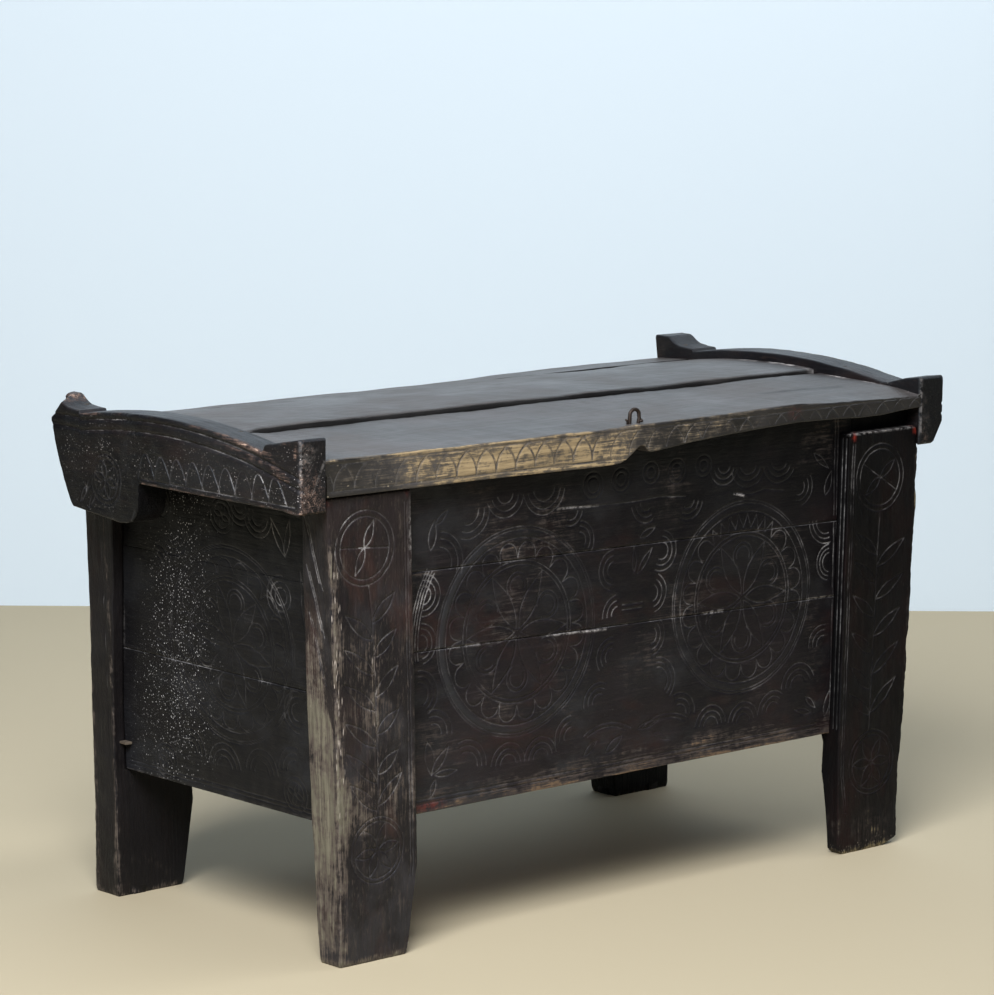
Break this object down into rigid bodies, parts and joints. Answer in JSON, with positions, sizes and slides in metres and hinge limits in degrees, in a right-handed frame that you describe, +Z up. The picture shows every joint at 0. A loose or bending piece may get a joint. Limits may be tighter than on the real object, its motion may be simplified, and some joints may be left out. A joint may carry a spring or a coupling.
{
  "type": "carpenter-made dowry chest",
  "caption": "Dark hewn-wood dowry chest on tall plank legs, chip-carved front, with a domed board lid that swings on wooden pins between shaped end cleats.",
  "frame": {"origin": "on the floor, under the middle of the chest's overall box", "axes": "+X along the chest to its right end as seen from the front, +Y from the front to the back, +Z up"},
  "size_m": [1.206, 0.544, 0.702],
  "materials": {
    "carcass_wood": "old dark wax, satin",
    "lid_wood": "old dark wax, satin",
    "floor_wood": "bare, matt",
    "peg_wood": "bare, matt",
    "forged_iron": "forged, dark"
  },
  "bodies": {
    "carcass": {"stile_front_right": "carcass_wood", "stile_front_left": "carcass_wood", "stile_rear_right": "carcass_wood", "stile_rear_left": "carcass_wood", "front_board_lower": "carcass_wood", "front_board_middle": "carcass_wood", "front_board_upper": "carcass_wood", "back_board_lower": "carcass_wood", "back_board_middle": "carcass_wood", "back_board_upper": "carcass_wood", "right_end_board_lower": "carcass_wood", "right_end_board_middle": "carcass_wood", "right_end_board_upper": "carcass_wood", "left_end_board_lower": "carcass_wood", "left_end_board_middle": "carcass_wood", "left_end_board_upper": "carcass_wood", "floor_board_end_left": "floor_wood", "floor_board_1": "floor_wood", "floor_board_2": "floor_wood", "floor_board_3": "floor_wood", "floor_board_4": "floor_wood", "floor_board_5": "floor_wood", "floor_board_end_right": "floor_wood", "front_board_pegs": "peg_wood", "back_board_pegs": "peg_wood", "lid_pin_right": "peg_wood", "lid_pin_left": "peg_wood", "end_shim": "peg_wood"},
    "lid": {"lid_board_front": "lid_wood", "lid_board_middle": "lid_wood", "lid_board_rear": "lid_wood", "lid_cleat_right": "lid_wood", "lid_cleat_left": "lid_wood", "lid_pegs": "peg_wood", "hasp_staple": "forged_iron"}
  },
  "joints": [
    {"name": "lid_hinge", "type": "hinge", "parent": "carcass", "child": "lid", "pos_m": [0, 0.206, 0.584], "axis": [-1, 0, 0], "range_deg": [0, 92]}
  ]
}
